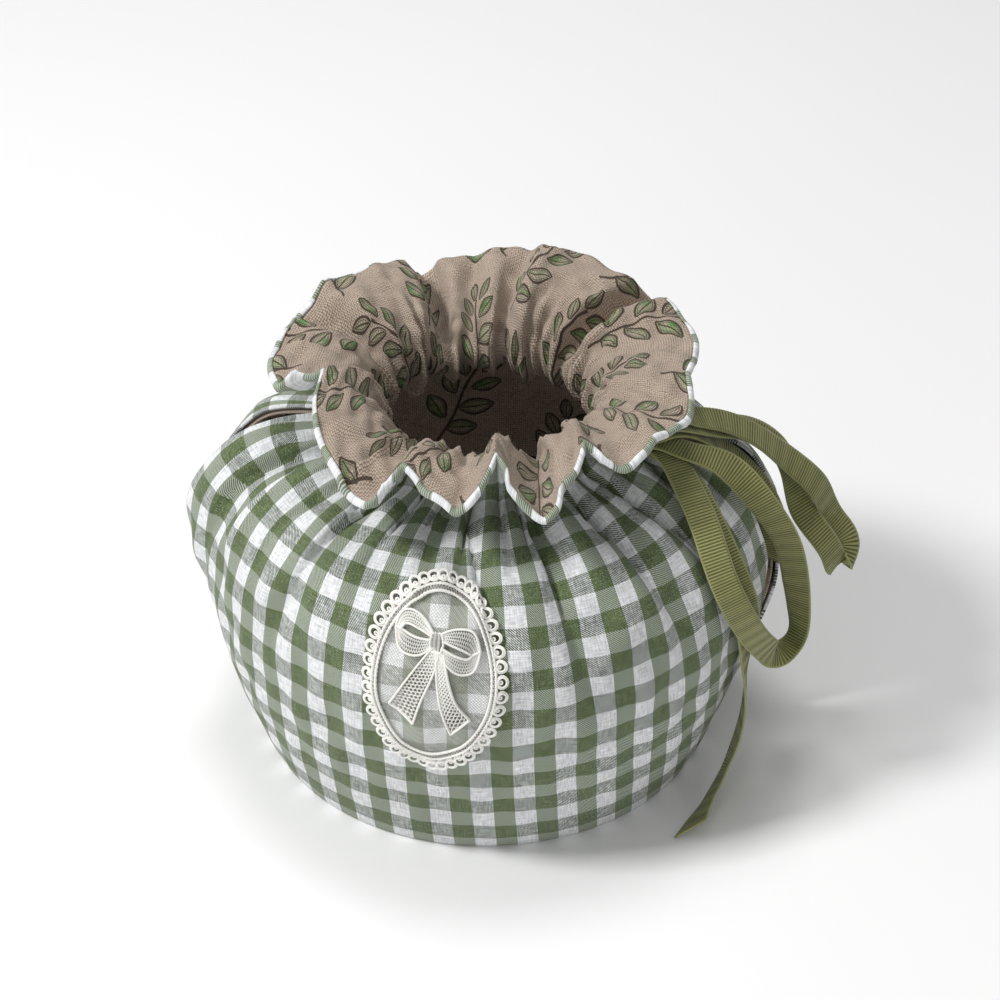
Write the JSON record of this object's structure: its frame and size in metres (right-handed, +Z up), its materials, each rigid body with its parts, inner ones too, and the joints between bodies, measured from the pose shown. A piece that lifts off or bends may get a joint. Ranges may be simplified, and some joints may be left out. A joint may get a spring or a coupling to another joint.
{
  "type": "tea cosy",
  "caption": "Gathered round tea cosy: checked cloth cover with a printed lining turned out as a ruffle, two side slits, a lace oval and a tied ribbon bow.",
  "frame": {"origin": "centre of the hem ring, on the surface that the cosy stands on", "axes": "+Z up through the neck, -Y to the front with the lace oval, -X to the spout slit, +X to the handle slit and the bow"},
  "size_m": [0.2335, 0.1978, 0.1601],
  "materials": {
    "gingham": "woven cotton in green and white checks",
    "printed_linen": "beige plain weave with leaf sprigs",
    "lace": "cream embroidered lace",
    "grosgrain": "olive ribbed ribbon"
  },
  "bodies": {
    "root": {"cover": "gingham", "lining": "printed_linen", "lace_medallion": "lace", "bow_knot": "grosgrain", "ribbon_front_loop": "grosgrain", "ribbon_back_loop": "grosgrain", "ribbon_tail_front": "grosgrain", "ribbon_tail_back": "grosgrain"}
  },
  "joints": []
}
